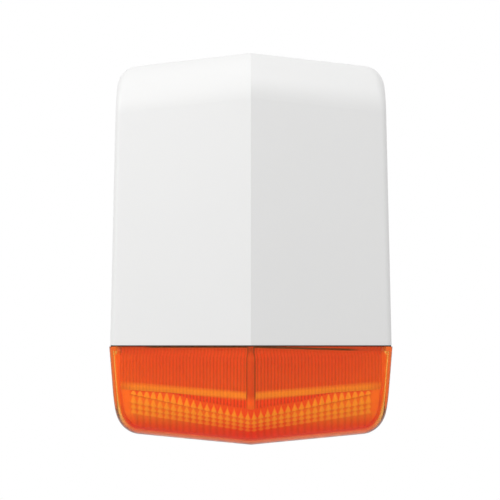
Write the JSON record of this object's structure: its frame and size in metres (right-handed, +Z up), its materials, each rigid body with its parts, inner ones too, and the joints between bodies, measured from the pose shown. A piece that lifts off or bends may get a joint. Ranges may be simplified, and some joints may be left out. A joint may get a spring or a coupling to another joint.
{
  "type": "alarm siren",
  "caption": "Outdoor wall-mounted alarm siren: white two-faced housing with a sharp centre ridge, amber strobe lens below, hinged cover over battery tray, board and sounder.",
  "frame": {"origin": "on the wall face of the backplate, at the middle of the housing width and height", "axes": "+Z up, +X to the viewer's right when facing the siren, +Y into the wall; the ridge faces -Y"},
  "size_m": [0.1902, 0.0806, 0.264],
  "materials": {
    "cover_white": "moulded white ABS, fine satin gloss",
    "lens_amber": "transparent amber polycarbonate, fluted and prismatic",
    "seal_rubber": "black sponge rubber",
    "base_white": "moulded white ABS, fine grain",
    "tray_black": "black ABS",
    "screw_steel": "zinc-plated steel",
    "hinge_steel": "stainless steel",
    "insert_brass": "turned brass",
    "cell_jacket": "printed battery jacket with bare ends",
    "contact_nickel": "nickel-plated spring steel",
    "board_green": "solder-masked fibreglass",
    "shield_tin": "tinned steel can",
    "antenna_copper": "enamelled copper wire",
    "chip_black": "epoxy moulding",
    "capacitor_sleeve": "heat-shrunk sleeve",
    "led_red": "clear-tinted epoxy",
    "connector_white": "nylon",
    "switch_blue": "moulded switch body",
    "lever_white": "moulded lever",
    "switch_black": "moulded switch body",
    "horn_black": "moulded ABS",
    "disc_brass": "brass disc with ceramic layer",
    "strobe_board_white": "white solder-masked board",
    "strobe_led": "phosphor-coated package",
    "reflector_silver": "vacuum-metallised plastic",
    "wire_red": "PVC insulation",
    "wire_black": "PVC insulation"
  },
  "bodies": {
    "base": {"backplate": "base_white", "battery_cell_1": "cell_jacket", "battery_cell_2": "cell_jacket", "battery_cell_3": "cell_jacket", "battery_cell_4": "cell_jacket", "battery_lead_black": "wire_black", "battery_lead_red": "wire_red", "battery_plates": "contact_nickel", "battery_springs": "contact_nickel", "battery_tray": "tray_black", "battery_tray_screws": "screw_steel", "board_screws": "screw_steel", "controller_chip": "chip_black", "cover_tamper_spring": "contact_nickel", "cover_tamper_switch": "switch_black", "dip_switch_housing": "switch_blue", "helical_antenna": "antenna_copper", "hinge_pins": "hinge_steel", "lead_connectors": "connector_white", "learn_button_base": "shield_tin", "lock_insert": "insert_brass", "main_board": "board_green", "power_switch_housing": "switch_black", "radio_module": "shield_tin", "siren_back_cover": "horn_black", "siren_diaphragm": "disc_brass", "siren_gasket": "seal_rubber", "siren_grille": "horn_black", "siren_horn": "horn_black", "siren_leads": "wire_red", "siren_screws": "screw_steel", "status_led": "led_red", "storage_capacitors": "capacitor_sleeve", "strobe_board": "strobe_board_white", "strobe_leads": "wire_black", "strobe_leds": "strobe_led", "strobe_reflector": "reflector_silver", "strobe_screws": "screw_steel", "wall_tamper_switch": "switch_black"},
    "cover": {"front_cover": "cover_white", "strobe_lens": "lens_amber", "lens_gasket": "seal_rubber", "lens_screws": "screw_steel"},
    "lock_screw_body": {"lock_screw": "screw_steel"},
    "power_switch_knob_body": {"power_switch_knob": "switch_black"},
    "learn_button_cap_body": {"learn_button_cap": "switch_black"},
    "cover_tamper_plunger_body": {"cover_tamper_plunger": "lever_white"},
    "wall_tamper_plunger_body": {"wall_tamper_plunger": "lever_white"},
    "dip_lever_1_body": {"dip_lever_1": "lever_white"},
    "dip_lever_2_body": {"dip_lever_2": "lever_white"},
    "dip_lever_3_body": {"dip_lever_3": "lever_white"},
    "dip_lever_4_body": {"dip_lever_4": "lever_white"}
  },
  "joints": [
    {"name": "cover_hinge", "type": "hinge", "parent": "base", "child": "cover", "pos_m": [0, -0.01, 0.1235], "axis": [-1, 0, 0], "range_deg": [0, 90]},
    {"name": "lock_screw_slide", "type": "slide", "parent": "base", "child": "lock_screw_body", "axis": [0, 0, -1], "range_m": [0, 0.005]},
    {"name": "power_switch_slide", "type": "slide", "parent": "base", "child": "power_switch_knob_body", "axis": [1, 0, 0], "range_m": [0, 0.004]},
    {"name": "learn_button_press", "type": "slide", "parent": "base", "child": "learn_button_cap_body", "axis": [0, 1, 0], "range_m": [0, 0.0005], "stiffness_N_per_m": 100},
    {"name": "cover_tamper_press", "type": "slide", "parent": "base", "child": "cover_tamper_plunger_body", "axis": [0, 1, 0], "range_m": [0, 0.002], "stiffness_N_per_m": 60, "deforming": ["cover_tamper_spring"]},
    {"name": "wall_tamper_release", "type": "slide", "parent": "base", "child": "wall_tamper_plunger_body", "axis": [0, 1, 0], "range_m": [0, 0.0025]},
    {"name": "dip_lever_1_slide", "type": "slide", "parent": "base", "child": "dip_lever_1_body", "axis": [0, 0, 1], "range_m": [0, 0.0016]},
    {"name": "dip_lever_2_slide", "type": "slide", "parent": "base", "child": "dip_lever_2_body", "axis": [0, 0, 1], "range_m": [0, 0.0016]},
    {"name": "dip_lever_3_slide", "type": "slide", "parent": "base", "child": "dip_lever_3_body", "axis": [0, 0, 1], "range_m": [0, 0.0016]},
    {"name": "dip_lever_4_slide", "type": "slide", "parent": "base", "child": "dip_lever_4_body", "axis": [0, 0, 1], "range_m": [0, 0.0016]}
  ]
}
